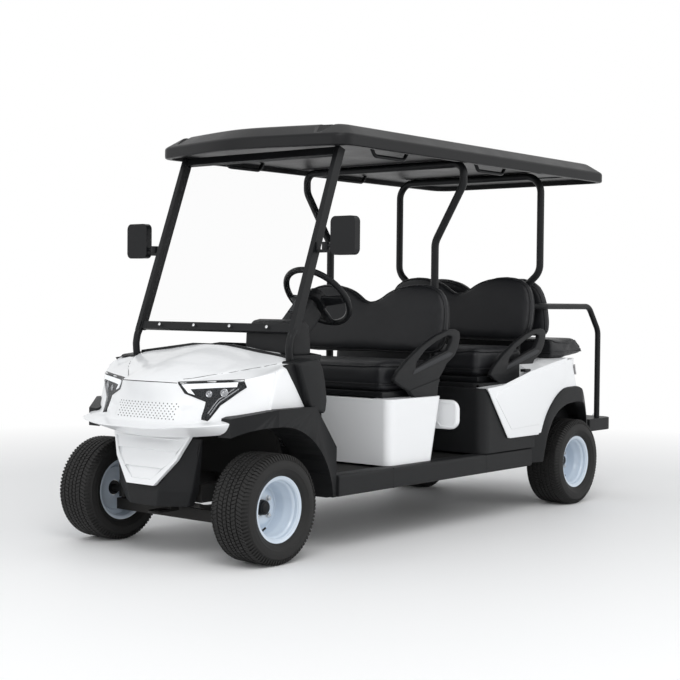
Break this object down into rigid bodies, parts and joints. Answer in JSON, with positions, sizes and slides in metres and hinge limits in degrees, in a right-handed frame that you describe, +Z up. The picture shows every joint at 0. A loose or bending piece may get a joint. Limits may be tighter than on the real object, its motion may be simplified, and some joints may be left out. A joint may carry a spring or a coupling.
{
  "type": "six-seat golf cart",
  "caption": "Open golf cart with benches in rows, the last facing back over a footrest, under a long roof on bent tube hoops; its wheels roll and the front pair steers.",
  "frame": {"origin": "on the floor, under the middle of the cart's outline", "axes": "+X forward, +Y to the cart's left, +Z up"},
  "size_m": [3.3602, 1.4, 1.866],
  "materials": {
    "frame_steel": "satin",
    "frame_black": "satin",
    "floor_mat": "matte",
    "black_plastic": "textured",
    "roof_plastic": "satin",
    "white_panel": "gloss",
    "clear_pane": "clear",
    "battery_case": "matte",
    "seat_vinyl": "grained",
    "lamp_lens": "gloss",
    "tail_lens": "gloss",
    "grip_plastic": "grained",
    "tyre_rubber": "matte",
    "rim_white": "gloss"
  },
  "bodies": {
    "root": {"battery_pack": "battery_case", "chassis_frame": "frame_steel", "dashboard": "black_plastic", "floor_pan": "floor_mat", "footrest": "black_plastic", "front_armrests": "frame_black", "front_axle": "frame_steel", "front_backrest": "seat_vinyl", "front_cowl": "white_panel", "front_fenders": "black_plastic", "front_seat_box": "white_panel", "front_undertray": "black_plastic", "grab_bars": "frame_black", "headlamps": "lamp_lens", "mid_armrests": "frame_black", "mid_backrest": "seat_vinyl", "mid_roof_frame": "frame_black", "mid_seat_box": "black_plastic", "mirror_clamps": "black_plastic", "pedals": "frame_steel", "rear_axle": "frame_steel", "rear_backrest": "seat_vinyl", "rear_body": "white_panel", "rear_cushion": "seat_vinyl", "rear_fenders": "black_plastic", "rear_frame": "frame_steel", "rear_roof_frame": "frame_black", "roof": "roof_plastic", "seat_box_guards": "white_panel", "sills": "black_plastic", "steering_column": "black_plastic", "tail_lamps": "tail_lens", "windshield": "clear_pane", "windshield_frame": "frame_black"},
    "knuckle_left": {"knuckle_left": "frame_steel"},
    "knuckle_right": {"knuckle_right": "frame_steel"},
    "tie_rod": {"tie_rod": "frame_steel"},
    "steering_wheel": {"steering_wheel": "grip_plastic"},
    "front_cushion": {"front_cushion": "seat_vinyl"},
    "mid_cushion": {"mid_cushion": "seat_vinyl"},
    "mirror_left": {"mirror_left": "black_plastic"},
    "mirror_right": {"mirror_right": "black_plastic"},
    "front_wheel_left": {"front_tyre_left": "tyre_rubber", "front_rim_left": "rim_white"},
    "front_wheel_right": {"front_tyre_right": "tyre_rubber", "front_rim_right": "rim_white"},
    "rear_wheel_left": {"rear_tyre_left": "tyre_rubber", "rear_rim_left": "rim_white"},
    "rear_wheel_right": {"rear_tyre_right": "tyre_rubber", "rear_rim_right": "rim_white"}
  },
  "joints": [
    {"name": "steer_left", "type": "hinge", "parent": "root", "child": "knuckle_left", "pos_m": [1.33, 0.385, 0.2295], "axis": [0, 0, 1], "range_deg": [-28, 28]},
    {"name": "steer_right", "type": "hinge", "parent": "root", "child": "knuckle_right", "pos_m": [1.33, -0.385, 0.2295], "axis": [0, 0, 1], "range_deg": [-28, 28]},
    {"name": "tie_rod_pivot", "type": "hinge", "parent": "knuckle_left", "child": "tie_rod", "pos_m": [1.25, 0.385, 0.17], "axis": [0, 0, 1], "range_deg": [-28, 28]},
    {"name": "steering_wheel_turn", "type": "hinge", "parent": "root", "child": "steering_wheel", "pos_m": [0.799, 0.3, 1.105], "axis": [-0.7314, 0, 0.682], "range_deg": [-336, 336]},
    {"name": "front_cushion_lid", "type": "hinge", "parent": "root", "child": "front_cushion", "pos_m": [0.545, 0, 0.6423], "axis": [0, 1, 0], "range_deg": [0, 65]},
    {"name": "mid_cushion_lid", "type": "hinge", "parent": "root", "child": "mid_cushion", "pos_m": [-0.24, 0, 0.6833], "axis": [0, 1, 0], "range_deg": [0, 65]},
    {"name": "mirror_fold_left", "type": "hinge", "parent": "root", "child": "mirror_left", "pos_m": [1.01712, 0.528, 1.321], "axis": [0, 0, 1], "range_deg": [0, 80]},
    {"name": "mirror_fold_right", "type": "hinge", "parent": "root", "child": "mirror_right", "pos_m": [1.01712, -0.528, 1.321], "axis": [0, 0, -1], "range_deg": [0, 80]},
    {"name": "front_spin_left", "type": "hinge", "parent": "knuckle_left", "child": "front_wheel_left", "pos_m": [1.33, 0.472, 0.2295], "axis": [0, 1, 0], "continuous": true},
    {"name": "rear_spin_left", "type": "hinge", "parent": "root", "child": "rear_wheel_left", "pos_m": [-1.06, 0.488, 0.2295], "axis": [0, 1, 0], "continuous": true},
    {"name": "front_spin_right", "type": "hinge", "parent": "knuckle_right", "child": "front_wheel_right", "pos_m": [1.33, -0.472, 0.2295], "axis": [0, 1, 0], "continuous": true},
    {"name": "rear_spin_right", "type": "hinge", "parent": "root", "child": "rear_wheel_right", "pos_m": [-1.06, -0.488, 0.2295], "axis": [0, 1, 0], "continuous": true}
  ],
  "couplings": [
    {"joint": "steer_right", "follows": "steer_left", "ratio": 1},
    {"joint": "tie_rod_pivot", "follows": "steer_left", "ratio": -1},
    {"joint": "steering_wheel_turn", "follows": "steer_left", "ratio": 12}
  ]
}
